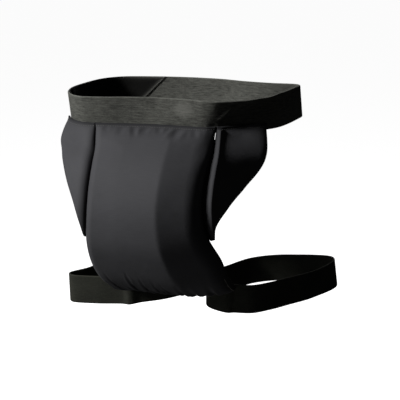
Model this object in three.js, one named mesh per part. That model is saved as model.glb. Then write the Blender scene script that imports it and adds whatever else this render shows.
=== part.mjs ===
// Padded seat guard: an elastic waist belt, a padded seat panel in three parts, and two elastic leg straps.
// Millimetres, +Z up, -Y behind the wearer, +X to the wearer's right.
// The origin is the middle of the waist opening, halfway up the belt.
import * as THREE from "three";

// Webbing
const BELT_WIDTH = 50;
const BELT_THICK = 2.6;
const STRAP_WIDTH = 49;
const STRAP_THICK = 2.4;
const BELT_STEPS = 160;
const STRAP_STEPS = 84;
const LENGTH_DIVISIONS = 600;

// Padding
const CENTRE_FOAM = 19;
const WING_FOAM = 14;
const SEAM_THICK = 3.4;
const LEFT_SIDE_ROLL = 12;
const RIGHT_SIDE_ROLL = 24;
const WING_SIDE_ROLL = 15;
const TOP_SWELL = 32;
const HEM_ROLL = 46;

// Sewn joints
const SEWN_GAP = 0.7;
const STRAP_GAP = 0.8;
const TOP_LAP = 11;
const SEAM_LAP = 4;
const CENTRE_ARC = 90;
const WING_ARC = 78;
const STRAP_BEHIND_HEM = [0.97, 0.86];

// Facets of the centre panel: the left one starts at this share of the half width, over a soft bend
const LEFT_RIDGE = 0.44;
const RIDGE_BEND = 0.02;

// Gathers along the hem
const GATHER_COUNT = 9;
const GATHER_DEPTH = 3;
const GATHER_REACH = 34;

// Grid of each panel
const CENTRE_COLUMNS = 38;
const WING_COLUMNS = 18;
const ROWS_PER_STATION = 2;

// Stations round the waist, from the middle of the back towards +X. x and y: the belt's mid line in plan,
// lean: how far the top edge leans outwards, in degrees.
const WAIST_STATIONS = [
  { x: 0, y: -112, lean: -2 },
  { x: 55, y: -115, lean: 6 },
  { x: 72, y: -116.5, lean: 12 },
  { x: 85, y: -112, lean: 20 },
  { x: 117, y: -87, lean: 22 },
  { x: 146, y: -62, lean: 11 },
  { x: 164, y: -16, lean: -4 },
  { x: 175, y: 42, lean: -6 },
  { x: 178, y: 75, lean: -6 },
  { x: 169, y: 86, lean: -4 },
  { x: 128, y: 86, lean: 0 },
  { x: 82, y: 96, lean: 0 },
  { x: 35, y: 114, lean: 0 },
  { x: -30, y: 121, lean: 0 },
  { x: -92, y: 113, lean: 0 },
  { x: -135, y: 98, lean: 0 },
  { x: -157, y: 68, lean: 0 },
  { x: -164, y: 5, lean: 0 },
  { x: -159, y: -54, lean: 2 },
  { x: -139, y: -99, lean: 6 },
  { x: -112, y: -123, lean: 10 },
  { x: -78, y: -123, lean: 8 },
  { x: -40, y: -116, lean: 2 },
];

// Rows of the seat panel's inner face below the belt. drop: height of the row; back: how far the middle
// of the centre panel lies behind the origin; half: half its width; sway: its shift towards +X;
// leftFall and rightFall: how much further forward its seams lie; ridge: where its right facet starts, as a
// share of the half width.
const PANEL_ROWS = [
  { drop: -50, back: 140, half: 84.9, sway: 0.4, leftFall: 2, rightFall: 18, ridge: 0.33 },
  { drop: -72, back: 157, half: 82.3, sway: -0.9, leftFall: 2, rightFall: 23, ridge: 0.32 },
  { drop: -96, back: 171, half: 80.8, sway: -2, leftFall: 2, rightFall: 27, ridge: 0.32 },
  { drop: -122, back: 179, half: 80.9, sway: -2.3, leftFall: 2, rightFall: 28, ridge: 0.31 },
  { drop: -148, back: 179, half: 83.5, sway: -2.2, leftFall: 2, rightFall: 29, ridge: 0.31 },
  { drop: -172, back: 173, half: 88.4, sway: -1.6, leftFall: 2, rightFall: 33, ridge: 0.31 },
  { drop: -212, back: 149, half: 96.5, sway: 1.2, leftFall: 2, rightFall: 38, ridge: 0.32 },
  { drop: -242, back: 124, half: 96.9, sway: 3.3, leftFall: 1, rightFall: 36, ridge: 0.37 },
  { drop: -268, back: 84, half: 96.2, sway: 5, leftFall: 1, rightFall: 26, ridge: 0.46 },
  { drop: -283, back: 54, half: 96, sway: 7, leftFall: 1, rightFall: 15, ridge: 0.55 },
];

// Rows of each wing, beside the first rows of the centre panel. width: how far the wing reaches
// sideways; wrap: how far forward its edge lies from its seam; sag: how much lower its edge hangs.
const LEFT_WING_ROWS = [
  { width: 69.5, wrap: 40, sag: 0.5 },
  { width: 57.5, wrap: 32, sag: -1 },
  { width: 41, wrap: 24, sag: -0.5 },
  { width: 21.5, wrap: 15, sag: 0 },
  { width: 6.5, wrap: 5, sag: 0 },
  { width: 2.2, wrap: 1.5, sag: 0 },
];
const RIGHT_WING_ROWS = [
  { width: 65.5, wrap: 52, sag: 8 },
  { width: 54, wrap: 64, sag: 13 },
  { width: 40, wrap: 52.5, sag: 11.5 },
  { width: 24, wrap: 32, sag: 8 },
  { width: 10, wrap: 13.5, sag: 3 },
  { width: 4, wrap: 5, sag: 0 },
];

// Free stations of each leg strap, from behind the panel's corner round the thigh and back, with the same
// columns as the waist's. Each strap hangs level, its mid line at the strap's height.
const LEFT_STRAP_STATIONS = [
  { x: -60, y: -38, lean: 0 },
  { x: -24, y: -12, lean: 0 },
  { x: 3, y: 22, lean: 0 },
  { x: 8, y: 66, lean: 0 },
  { x: -26, y: 100, lean: 0 },
  { x: -82, y: 98, lean: 0 },
  { x: -124, y: 62, lean: 0 },
  { x: -143, y: 8, lean: 0 },
  { x: -156, y: -28, lean: 0 },
  { x: -177, y: -58, lean: 0 },
  { x: -171, y: -66, lean: 0 },
  { x: -130, y: -62, lean: 0 },
];
const RIGHT_STRAP_STATIONS = [
  { x: 128, y: -32, lean: 0 },
  { x: 154, y: -11, lean: 0 },
  { x: 180, y: 17, lean: 0 },
  { x: 214, y: 56, lean: 0 },
  { x: 244, y: 116, lean: -8 },
  { x: 239, y: 134, lean: -9 },
  { x: 225, y: 137, lean: -6 },
  { x: 180, y: 126, lean: 0 },
  { x: 137, y: 112, lean: 0 },
  { x: 99, y: 85, lean: 0 },
  { x: 71, y: 42, lean: 0 },
  { x: 48, y: 2, lean: 0 },
  { x: 53, y: -26, lean: 0 },
];
const LEFT_STRAP_HEIGHT = -307;
const RIGHT_STRAP_HEIGHT = -305;

const BELT_CLOTH = { color: 0x1c1d19, roughness: 0.92, metalness: 0 };
const PANEL_CLOTH = { color: 0x1b1b1e, roughness: 0.62, metalness: 0 };
const STRAP_CLOTH = { color: 0x12130f, roughness: 0.92, metalness: 0 };

const UP = new THREE.Vector3(0, 0, 1);

// A closed mid line through stations, with a turned frame at any share of its length
class WebbingPath {
  constructor(stations, height) {
    const points = stations.map((station) => new THREE.Vector3(station.x, station.y, height));
    this.leans = stations.map((station) => THREE.MathUtils.degToRad(station.lean));
    this.curve = new THREE.CatmullRomCurve3(points, true, "centripetal");
    this.curve.arcLengthDivisions = LENGTH_DIVISIONS;
    this.length = this.curve.getLength();
  }

  leanAt(t) {
    const place = t * this.leans.length;
    const index = Math.floor(place) % this.leans.length;
    const next = (index + 1) % this.leans.length;
    const share = THREE.MathUtils.smoothstep(place - Math.floor(place), 0, 1);
    return THREE.MathUtils.lerp(this.leans[index], this.leans[next], share);
  }

  frameAt(share) {
    const t = this.curve.getUtoTmapping(share);
    const lean = this.leanAt(t);
    const tangent = this.curve.getTangent(t).setZ(0).normalize();
    const level = tangent.clone().cross(UP);
    const out = level.clone().multiplyScalar(Math.cos(lean)).addScaledVector(UP, -Math.sin(lean));
    const up = UP.clone().multiplyScalar(Math.cos(lean)).addScaledVector(level, Math.sin(lean));
    return { point: this.curve.getPoint(t), out, up };
  }

  // Point outside the webbing: arc from the first station, height above the mid line, distance out
  outside(arc, height, distance) {
    const share = (((arc / this.length) % 1) + 1) % 1;
    const { point, out, up } = this.frameAt(share);
    return point.addScaledVector(up, height).addScaledVector(out, distance);
  }
}

function closedMesh(vertices, triangles) {
  const geometry = new THREE.BufferGeometry();
  const coordinates = vertices.flatMap((vertex) => vertex.toArray());
  geometry.setAttribute("position", new THREE.Float32BufferAttribute(coordinates, 3));
  geometry.setIndex(triangles);
  geometry.computeVertexNormals();
  return geometry;
}

// Flat webbing swept round a closed path, with a square cut section
function webbingLoop(path, width, thick, steps) {
  const corners = [[1, 1], [1, -1], [-1, -1], [-1, 1]];
  const vertices = [];
  const triangles = [];
  for (let step = 0; step < steps; step += 1) {
    const { point, out, up } = path.frameAt(step / steps);
    for (const [side, edge] of corners) {
      const onFace = point.clone().addScaledVector(out, (side * thick) / 2);
      vertices.push(onFace.addScaledVector(up, (edge * width) / 2));
    }
  }
  for (let step = 0; step < steps; step += 1) {
    const here = step * corners.length;
    const ahead = ((step + 1) % steps) * corners.length;
    corners.forEach((_, corner) => {
      const beside = (corner + 1) % corners.length;
      triangles.push(here + corner, here + beside, ahead + beside);
      triangles.push(here + corner, ahead + beside, ahead + corner);
    });
  }
  return closedMesh(vertices, triangles);
}

// Share of the full padding a given distance in from a stitched edge, as a quarter round
function roll(distance, reach) {
  const share = Math.min(Math.max(distance / reach, 0), 1);
  return Math.sqrt(1 - (1 - share) ** 2);
}

// Share of the full padding at a distance down from the top edge, as a gentle swell
function swell(distance, reach) {
  const share = Math.min(distance / reach, 1);
  return share * (2 - share);
}

// How far a facet point has come forward, from 0 in the middle to 1 at the seam
function facet(across, rightRidge) {
  const ridge = across < 0 ? LEFT_RIDGE : rightRidge;
  const ramp = (value) => RIDGE_BEND * Math.log(1 + Math.exp(value / RIDGE_BEND));
  const start = ramp(-ridge);
  return (ramp(Math.abs(across) - ridge) - start) / (ramp(1 - ridge) - start);
}

const waistPath = new WebbingPath(WAIST_STATIONS, 0);

// Heights on the belt that the panel's top rows follow: its top edge, and where it leaves the belt
function beltHeights() {
  const top = TOP_LAP - BELT_WIDTH / 2;
  return [top, top - SEAM_LAP];
}

function centreColumn(across) {
  const onBelt = beltHeights().map((height) => {
    return waistPath.outside(across * CENTRE_ARC, height, BELT_THICK / 2 + SEWN_GAP);
  });
  const below = PANEL_ROWS.map((row) => {
    const x = across * (row.half - SEWN_GAP / 2) + row.sway;
    const y = -row.back + (across < 0 ? row.leftFall : row.rightFall) * facet(across, row.ridge);
    return new THREE.Vector3(x, y, row.drop);
  });
  return [...onBelt, ...below];
}

function wingColumn(side, reach) {
  const onBelt = beltHeights().map((height) => {
    const arc = side * (CENTRE_ARC + SEWN_GAP + reach * WING_ARC);
    return waistPath.outside(arc, height, BELT_THICK / 2 + SEWN_GAP);
  });
  const wingRows = side < 0 ? LEFT_WING_ROWS : RIGHT_WING_ROWS;
  const below = wingRows.map((wing, index) => {
    const row = PANEL_ROWS[index];
    const x = side * (row.half + SEWN_GAP / 2 + reach * wing.width) + row.sway;
    const y = -row.back + (side < 0 ? row.leftFall : row.rightFall) + reach * wing.wrap;
    return new THREE.Vector3(x, y, row.drop - reach * wing.sag);
  });
  return [...onBelt, ...below];
}

// Smooth grid through the columns' points, a row of points for each column
function smoothGrid(columns) {
  const rows = (columns[0].length - 1) * ROWS_PER_STATION;
  return columns.map((points) => new THREE.CatmullRomCurve3(points, false, "centripetal").getPoints(rows));
}

// Outward normal of a grid at one place, from its neighbours
function gridNormal(grid, column, row) {
  const lastColumn = grid.length - 1;
  const lastRow = grid[0].length - 1;
  const across = grid[Math.min(column + 1, lastColumn)][row].clone().sub(grid[Math.max(column - 1, 0)][row]);
  const down = grid[column][Math.min(row + 1, lastRow)].clone().sub(grid[column][Math.max(row - 1, 0)]);
  return down.cross(across).normalize();
}

// Distance along a column from its top to each of its points
function runningLength(points) {
  let total = 0;
  return points.map((point, index) => {
    total += index === 0 ? 0 : point.distanceTo(points[index - 1]);
    return total;
  });
}

// Closed slab from an inner grid and the padding's thickness at each of its places
function paddedSlab(inner, thicknessAt) {
  const outer = inner.map((points, column) => points.map((point, row) => {
    return point.clone().addScaledVector(gridNormal(inner, column, row), thicknessAt(column, row));
  }));
  const columns = inner.length;
  const rows = inner[0].length;
  const vertices = [...inner.flat(), ...outer.flat()];
  const at = (layer, column, row) => layer * columns * rows + column * rows + row;
  const triangles = [];
  const quad = (a, b, c, d) => triangles.push(a, b, c, a, c, d);
  for (let column = 0; column < columns - 1; column += 1) {
    for (let row = 0; row < rows - 1; row += 1) {
      quad(at(1, column, row), at(1, column, row + 1), at(1, column + 1, row + 1), at(1, column + 1, row));
      quad(at(0, column, row), at(0, column + 1, row), at(0, column + 1, row + 1), at(0, column, row + 1));
    }
    const last = rows - 1;
    quad(at(0, column, 0), at(1, column, 0), at(1, column + 1, 0), at(0, column + 1, 0));
    quad(at(0, column, last), at(0, column + 1, last), at(1, column + 1, last), at(1, column, last));
  }
  for (let row = 0; row < rows - 1; row += 1) {
    const last = columns - 1;
    quad(at(0, 0, row), at(0, 0, row + 1), at(1, 0, row + 1), at(1, 0, row));
    quad(at(0, last, row), at(1, last, row), at(1, last, row + 1), at(0, last, row + 1));
  }
  return closedMesh(vertices, triangles);
}

// Even steps from 0 to 1, drawn in towards both ends so that rolled edges get more of them
function crowdedSteps(count) {
  return Array.from({ length: count + 1 }, (_, index) => {
    const even = index / count;
    const crowded = (1 - Math.cos(Math.PI * even)) / 2;
    return (even + crowded) / 2;
  });
}

// Straight distance from a place in a grid to the nearer end of its row
function distanceFromSide(grid, column, row) {
  const place = grid[column][row];
  return Math.min(place.distanceTo(grid[0][row]), place.distanceTo(grid.at(-1)[row]));
}

function centrePad() {
  const acrossSteps = crowdedSteps(CENTRE_COLUMNS).map((step) => 2 * step - 1);
  const inner = smoothGrid(acrossSteps.map(centreColumn));
  const lengths = inner.map(runningLength);
  const thicknessAt = (column, row) => {
    const fromTop = lengths[column][row];
    const fromHem = lengths[column].at(-1) - fromTop;
    const rollReach = acrossSteps[column] < 0 ? LEFT_SIDE_ROLL : RIGHT_SIDE_ROLL;
    const sideRoll = roll(distanceFromSide(inner, column, row), rollReach);
    const full = sideRoll * swell(fromTop, TOP_SWELL) * roll(fromHem, HEM_ROLL);
    const gathered = (1 + Math.cos(Math.PI * GATHER_COUNT * acrossSteps[column])) / 2;
    const nearHem = 1 - Math.min(fromHem / GATHER_REACH, 1);
    return SEAM_THICK + (CENTRE_FOAM - SEAM_THICK) * full + GATHER_DEPTH * gathered * nearHem * sideRoll;
  };
  return paddedSlab(inner, thicknessAt);
}

function wingPad(side) {
  const steps = crowdedSteps(WING_COLUMNS);
  const ordered = side > 0 ? steps : steps.toReversed();
  const inner = smoothGrid(ordered.map((reach) => wingColumn(side, reach)));
  const lengths = inner.map(runningLength);
  const thicknessAt = (column, row) => {
    const fromTop = lengths[column][row];
    const fromTip = lengths[column].at(-1) - fromTop;
    const sideRoll = roll(distanceFromSide(inner, column, row), WING_SIDE_ROLL);
    const full = sideRoll * swell(fromTop, TOP_SWELL) * roll(fromTip, WING_SIDE_ROLL);
    return SEAM_THICK + (WING_FOAM - SEAM_THICK) * full;
  };
  return paddedSlab(inner, thicknessAt);
}

// Stations of a strap where it is sewn behind the hem at the panel's lower corner
function sewnStations(side) {
  const shares = side > 0 ? STRAP_BEHIND_HEM.toReversed() : STRAP_BEHIND_HEM;
  return shares.map((share) => {
    const hem = centreColumn(side * share).at(-1);
    return { x: hem.x, y: hem.y + STRAP_GAP + STRAP_THICK / 2, lean: 0 };
  });
}

function legStrap(side, height, freeStations) {
  const path = new WebbingPath([...sewnStations(side), ...freeStations], height);
  return webbingLoop(path, STRAP_WIDTH, STRAP_THICK, STRAP_STEPS);
}

const guard = new THREE.Group();

function addPiece(name, geometry, cloth) {
  const piece = new THREE.Mesh(geometry, new THREE.MeshStandardMaterial(cloth));
  piece.name = name;
  guard.add(piece);
}

addPiece("waist_belt", webbingLoop(waistPath, BELT_WIDTH, BELT_THICK, BELT_STEPS), BELT_CLOTH);
addPiece("centre_pad", centrePad(), PANEL_CLOTH);
addPiece("wing_pad_left", wingPad(-1), PANEL_CLOTH);
addPiece("wing_pad_right", wingPad(1), PANEL_CLOTH);
addPiece("leg_strap_left", legStrap(-1, LEFT_STRAP_HEIGHT, LEFT_STRAP_STATIONS), STRAP_CLOTH);
addPiece("leg_strap_right", legStrap(1, RIGHT_STRAP_HEIGHT, RIGHT_STRAP_STATIONS), STRAP_CLOTH);

export default guard;
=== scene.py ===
"""Looks of the padded seat guard: elastic webbing, foam panels in woven cloth, stitching and a plain stage.

All sizes are in metres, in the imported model's frame: +Z up, -Y behind the wearer, +X to the wearer's right.
"""

import math
from collections import namedtuple

import bpy
import numpy as np
from bpy.props import FloatProperty, FloatVectorProperty, IntProperty, PointerProperty
from bpy.types import Operator, Panel, PropertyGroup
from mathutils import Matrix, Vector


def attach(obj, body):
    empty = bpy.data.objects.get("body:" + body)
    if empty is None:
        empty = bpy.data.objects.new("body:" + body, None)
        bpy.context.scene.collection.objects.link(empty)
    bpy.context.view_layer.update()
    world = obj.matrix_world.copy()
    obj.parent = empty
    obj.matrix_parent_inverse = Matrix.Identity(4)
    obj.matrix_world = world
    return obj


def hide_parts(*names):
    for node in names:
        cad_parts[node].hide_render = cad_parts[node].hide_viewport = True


bl_info = {
    "name": "Padded seat guard",
    "version": (1, 0, 0),
    "blender": (4, 5, 0),
    "location": "View3D > Sidebar > Seat guard",
    "description": "Builds the looks of a padded seat guard round its packed model",
    "category": "Object",
}

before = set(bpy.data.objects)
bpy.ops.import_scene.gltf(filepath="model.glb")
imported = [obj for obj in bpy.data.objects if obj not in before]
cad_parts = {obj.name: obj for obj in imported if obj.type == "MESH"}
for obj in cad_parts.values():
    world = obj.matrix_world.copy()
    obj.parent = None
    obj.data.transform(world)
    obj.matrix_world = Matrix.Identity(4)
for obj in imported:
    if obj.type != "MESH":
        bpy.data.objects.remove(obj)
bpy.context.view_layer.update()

MM = 0.001
UP = np.array([0.0, 0.0, 1.0])

# Distance from thread to thread, two ways, and the widths of a scuffed selvedge and of the painted highlight on
# the belt, in metres
WEBBING_THREADS = (0.0016, 0.00125)
COVER_THREADS = (0.0011, 0.0011)
SELVEDGE = 0.0022
HIGHLIGHT_REACH = (0.018, 0.014)
# Height of the painted highlight below the belt's top edge, as a share of the belt's width
HIGHLIGHT_HEIGHT = 0.30
# Colour of the painted highlights: on the lapped end's cut tip and edges, and on the belt's pale place
PAINTED_HIGHLIGHT_COLOUR = (0.16, 0.16, 0.145)

# Cloth of the covers as it settles over the foam, and how far its slack reaches in from a sewn edge, in metres
CLOTH_SETTINGS = {
    "quality": 5, "mass": 0.2, "tension_stiffness": 40, "compression_stiffness": 40, "shear_stiffness": 20,
    "bending_stiffness": 1.5, "shrink_min": 0.0, "use_pressure": True,
}
SETTLE_FRAMES = 18
SLACK_REACH = 0.016

# Points for each station of a smooth column
SAMPLES_PER_STATION = 24

# How far a rim bulges at a sewn edge, a free edge, a wing's tip and the hem, as a share of its half thickness
SEWN_RIM = 0.1
FREE_RIM = 0.8
TIP_RIM = 0.3
HEM_RIM = 0.08

# How far a stitch is lifted off the cloth, as a share of its thread
STITCH_LIFT = 0.1
# Where a strap is sewn behind the hem, as shares of the centre panel's half width
STRAP_SEWN = np.array([0.86, 0.97])

# Soft lights: azimuth and elevation in degrees, distance from the aim and size in metres
LIGHTS = {"key": (-46, 31, 2.2, 0.45), "low": (-40, -40, 1.1, 0.5), "front": (200, 28, 2.4, 1.2)}
SENSOR_WIDTH = 36.0
FLOOR_HALF = 60.0

# Stations of the webbing's mid line in plan, in millimetres; lean is how far its top edge leans out, in degrees
Station = namedtuple("Station", "x y lean")
WAIST_STATIONS = [Station(*row) for row in (
    (0, -112, -2), (55, -115, 6), (72, -116.5, 12), (85, -112, 20), (117, -87, 22), (146, -62, 11),
    (164, -16, -4), (175, 42, -6), (178, 75, -6), (169, 86, -4), (128, 86, 0), (82, 96, 0),
    (35, 114, 0), (-30, 121, 0), (-92, 113, 0), (-135, 98, 0), (-157, 68, 0), (-164, 5, 0),
    (-159, -54, 2), (-139, -99, 6), (-112, -123, 10), (-78, -123, 8), (-40, -116, 2),
)]
LEFT_STRAP_STATIONS = [Station(*row) for row in (
    (-60, -38, 0), (-24, -12, 0), (3, 22, 0), (8, 66, 0), (-26, 100, 0), (-82, 98, 0),
    (-124, 62, 0), (-143, 8, 0), (-156, -28, 0), (-177, -58, 0), (-171, -66, 0), (-130, -62, 0),
)]
RIGHT_STRAP_STATIONS = [Station(*row) for row in (
    (128, -32, 0), (154, -11, 0), (180, 17, 0), (214, 56, 0), (244, 116, -8), (239, 134, -9),
    (225, 137, -6), (180, 126, 0), (137, 112, 0), (99, 85, 0), (71, 42, 0), (48, 2, 0),
    (53, -26, 0),
)]

# Rows of the seat panel's inner face below the belt, in millimetres: height, distance of the centre panel's
# middle behind the origin, half its width, its shift towards +X, how much further forward its seams lie, and
# where its right facet starts, as a share of the half width
PanelRow = namedtuple("PanelRow", "drop back half sway left_fall right_fall ridge")
PANEL_ROWS = [PanelRow(*row) for row in (
    (-50, 140, 84.9, 0.4, 2, 18, 0.33),
    (-72, 157, 82.3, -0.9, 2, 23, 0.32),
    (-96, 171, 80.8, -2, 2, 27, 0.32),
    (-122, 179, 80.9, -2.3, 2, 28, 0.31),
    (-148, 179, 83.5, -2.2, 2, 29, 0.31),
    (-172, 173, 88.4, -1.6, 2, 33, 0.31),
    (-212, 149, 96.5, 1.2, 2, 38, 0.32),
    (-242, 124, 96.9, 3.3, 1, 36, 0.37),
    (-268, 84, 96.2, 5, 1, 26, 0.46),
    (-283, 54, 96, 7, 1, 15, 0.55),
)]

# Rows of each wing beside the first rows of the centre panel, in millimetres: how far it reaches sideways, how
# far forward its edge lies from its seam, and how much lower its edge hangs
WingRow = namedtuple("WingRow", "width wrap sag")
LEFT_WING_ROWS = [WingRow(*row) for row in (
    (69.5, 40, 0.5),
    (57.5, 32, -1),
    (41, 24, -0.5),
    (21.5, 15, 0),
    (6.5, 5, 0),
    (2.2, 1.5, 0),
)]
RIGHT_WING_ROWS = [WingRow(*row) for row in (
    (65.5, 52, 8),
    (54, 64, 13),
    (40, 52.5, 11.5),
    (24, 32, 8),
    (10, 13.5, 3),
    (4, 5, 0),
)]

# Puckers of the centre panel's cloth along a sewn edge: where across the panel, how long and wide, how deep,
# in millimetres, and how far the pucker leans towards +X over its length
Pucker = namedtuple("Pucker", "across length width depth lean")
TOP_PUCKERS = [Pucker(*row) for row in (
    (-0.80, 14, 4, 1.2, 1),
    (-0.52, 18, 5, 1.6, -2),
    (-0.34, 20, 4, 2.0, 3),
    (-0.12, 16, 5, 2.2, -3),
    (0.08, 14, 4, 1.6, 2),
    (0.26, 12, 4, 1.4, -2),
    (0.42, 22, 6, 3.2, -5),
    (0.66, 15, 4, 1.4, 3),
)]
HEM_PUCKERS = [Pucker(*row) for row in (
    (-0.90, 45, 2.6, 2.9, 2),
    (-0.71, 74, 2.2, 5.2, -6),
    (-0.59, 54, 2.0, 3.5, 1),
    (-0.48, 81, 2.4, 5.8, 4),
    (-0.39, 52, 1.9, 3.8, -1),
    (-0.30, 74, 2.2, 5.2, 5),
    (-0.20, 58, 1.9, 4.1, -1),
    (-0.10, 69, 2.0, 5.2, 4),
    (0.00, 56, 2.0, 4.3, 1),
    (0.13, 65, 2.2, 4.6, -4),
    (0.28, 67, 3.2, 4.1, 3),
    (0.48, 63, 4.0, 3.5, -2),
    (0.72, 56, 4.0, 3.2, 2),
)]

# Raised lips beside a pucker: their place and width in widths of the pucker, and their rise as a share of its
# depth
LIP_PLACE = 1.6
LIP_WIDTH = 0.7
LIP_RISE = 0.45

# Creases that stand out of the waist belt, in millimetres: place in plan, height, length, width and how far the
# crease stands out, with its slope along the belt in degrees
Crease = namedtuple("Crease", "x y height length width rise slope")
BELT_CREASES = [Crease(*row) for row in (
    (101, -108, 4, 24, 3.0, 1.6, 46),
    (154, -48, 13, 30, 3.5, 1.5, 24),
    (96, -112, -14, 14, 3.0, 0.9, -30),
)]


def metres(name, description, default):
    return FloatProperty(name=name, description=description, default=default, unit="LENGTH")


def fraction(name, description, default):
    return FloatProperty(name=name, description=description, default=default, min=0, subtype="FACTOR")


def degrees(name, description, default):
    angle = math.radians(default)
    return FloatProperty(name=name, description=description, default=angle, subtype="ANGLE", unit="ROTATION")


def watts(name, description, default):
    return FloatProperty(name=name, description=description, default=default, unit="POWER")


def tint(name, description, default):
    return FloatVectorProperty(
        name=name, description=description, default=default, size=3, subtype="COLOR", min=0, max=1)


class WebbingSizes(PropertyGroup):
    belt_width: metres("Belt width", "Width of the waist belt", 0.050)
    belt_thick: metres("Belt thickness", "Thickness of the waist belt", 0.0026)
    flap_thick: metres("Lapped end thickness", "Thickness of the belt's lapped end", 0.0022)
    lap_gap: metres("Lap gap", "Gap between the belt and its lapped end", 0.0003)
    flap_sewn_y: metres("Lap seam", "Where the lapped end is sewn on at the left, towards +Y", -0.060)
    flap_tip_x: metres("Lap tip", "Middle of the lapped end's slanted cut, towards +X", -0.088)
    flap_slant: metres("Lap slant", "How far the slanted cut runs along the belt", 0.050)
    strap_width: metres("Strap width", "Width of a leg strap", 0.049)
    strap_thick: metres("Strap thickness", "Thickness of a leg strap", 0.0024)
    left_strap_height: metres("Left strap height", "Height of the left strap's mid line", -0.307)
    right_strap_height: metres("Right strap height", "Height of the right strap's mid line", -0.305)
    ribs: IntProperty(
        name="Ribs", description="Ribs across the webbing's width", default=20, min=2)
    rib_depth: metres("Rib depth", "Depth of the furrow between two ribs", 0.00022)
    step: metres("Step", "Length of one piece of the swept webbing", 0.0026)


class PanelSizes(PropertyGroup):
    centre_foam: metres("Centre foam", "Full thickness of the centre panel", 0.019)
    wing_foam: metres("Wing foam", "Full thickness of a wing", 0.014)
    seam_thick: metres("Seam thickness", "Thickness at a sewn edge", 0.0034)
    left_side_roll: metres("Left side roll", "How far in the centre panel's left side rounds off", 0.012)
    right_side_roll: metres("Right side roll", "How far in the centre panel's right side rounds off", 0.024)
    wing_side_roll: metres("Wing side roll", "How far in a wing's sides round off", 0.015)
    top_swell: metres("Top swell", "How far down the padding swells from the top edge", 0.032)
    left_wing_swell: metres(
        "Left wing swell", "How far down the left wing's padding swells from its top edge", 0.052)
    right_wing_swell: metres(
        "Right wing swell", "How far down the right wing's padding swells from its top edge", 0.120)
    wing_tip_roll: metres("Wing tip roll", "How far up a wing's padding thins to its tip", 0.045)
    bead_inset: metres("Bead inset", "How far the roll of cloth on the right wing lies from its seam", 0.004)
    bead_reach: metres("Bead reach", "Half the width of that roll", 0.0035)
    bead_fade: metres("Bead fade", "How far up that roll fades in from the wing's tip", 0.075)
    bead_rise: metres("Bead rise", "How far that roll stands up", 0.0045)
    facet_dip: metres("Facet dip", "How much thinner the right facet is by its seam, under the belt", 0.007)
    facet_reach: metres("Facet reach", "How far down that thinning fades", 0.050)
    corner_fill: metres("Corner fill", "How much fuller the centre panel's lower left corner is", 0.005)
    corner_reach: metres("Corner reach", "How far that fullness reaches", 0.024)
    hem_roll: metres("Hem roll", "How far up the hem rounds off", 0.046)
    hem_fill: fraction("Hem fill", "Share of the padding that reaches the gathered hem", 0.55)
    sewn_gap: metres("Sewn gap", "Gap between pieces that are sewn together", 0.0007)
    tape_width: metres("Tape width", "Width of the tape behind a wing's seam", 0.008)
    tape_thick: metres("Tape thickness", "Thickness of the tape behind a wing's seam", 0.0003)
    tape_gap: metres("Tape gap", "Gap between that tape and the padding", 0.0001)
    strap_gap: metres("Strap gap", "Gap between the hem and a strap behind it", 0.0008)
    top_lap: metres("Top lap", "How far the panel laps over the belt", 0.011)
    seam_lap: metres("Seam lap", "How much of the panel's top lies flat on the belt", 0.004)
    centre_arc: metres("Centre arc", "Half the centre panel's width along the belt", 0.090)
    wing_arc: metres("Wing arc", "A wing's width along the belt", 0.078)
    left_ridge: fraction("Left ridge", "Left bend of the centre panel, as a share of its half width", 0.44)
    ridge_softness: fraction("Ridge softness", "How gently the panel bends at its ridges", 0.014)
    cloth_step: metres("Cloth step", "Size of one quad of the cover cloth", 0.0015)
    filling: FloatProperty(
        name="Filling", description="Pressure of the foam on its cover", default=0.6, min=0)
    slack: fraction("Slack", "Spare cover cloth taken up along the sewn edges", 0.05)
    cloth_reach: metres("Cloth reach", "Furthest that the cover may move as it settles", 0.005)


class StitchSizes(PropertyGroup):
    length: metres("Stitch length", "Length of one stitch", 0.0028)
    pitch: metres("Stitch pitch", "Distance from one stitch to the next", 0.0036)
    thread: metres("Thread", "Thickness of the thread", 0.0009)
    inset: metres("Inset", "Distance of a seam from the edge that it holds", 0.0042)


class GuardFinish(PropertyGroup):
    belt: tint("Belt elastic", "Colour of the waist belt", (0.078, 0.079, 0.070))
    # Near black, far darker than the straps, so that the inside of the belt's left side reads black
    lap: tint("Lapped end", "Colour of the belt's lapped end", (0.003, 0.003, 0.0025))
    panel: tint("Panel cloth", "Colour of the panel's cover", (0.055, 0.055, 0.059))
    strap: tint("Strap elastic", "Colour of the leg straps", (0.026, 0.027, 0.021))
    thread: tint("Thread", "Colour of the sewing thread", (0.075, 0.075, 0.072))
    # Pale thread along the lower right edge, which also paints the highlight on that edge
    edge_thread: tint(
        "Edge thread", "Colour of the thread along the panel's lower right edge", (0.42, 0.42, 0.38))


class StageSetup(PropertyGroup):
    floor_height: metres("Floor height", "Height of the floor under the guard, at a wearer's feet", -1.0)
    aim: FloatVectorProperty(
        name="Aim", description="Point that the camera looks at", default=(0.0275, 0.0165, -0.1614), size=3,
        subtype="XYZ", unit="LENGTH")
    azimuth: degrees("Azimuth", "Camera's turn from straight behind, towards +X", 16.0)
    elevation: degrees("Elevation", "Camera's height above the level", 16.5)
    distance: metres("Distance", "Camera's distance from its aim", 1.22)
    lens: FloatProperty(
        name="Lens", description="Camera's focal length on a 36 mm sensor, in millimetres", default=66.87)
    key_power: watts("Key light", "Power of the main soft light", 56.0)
    front_power: watts("Front light", "Power of the soft light on the wearer's front", 20.0)
    low_power: watts("Low light", "Power of the soft light from below on the hem", 1.5)
    ambient: FloatProperty(
        name="Ambient", description="Strength of the light from all round", default=0.02, min=0)


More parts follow.
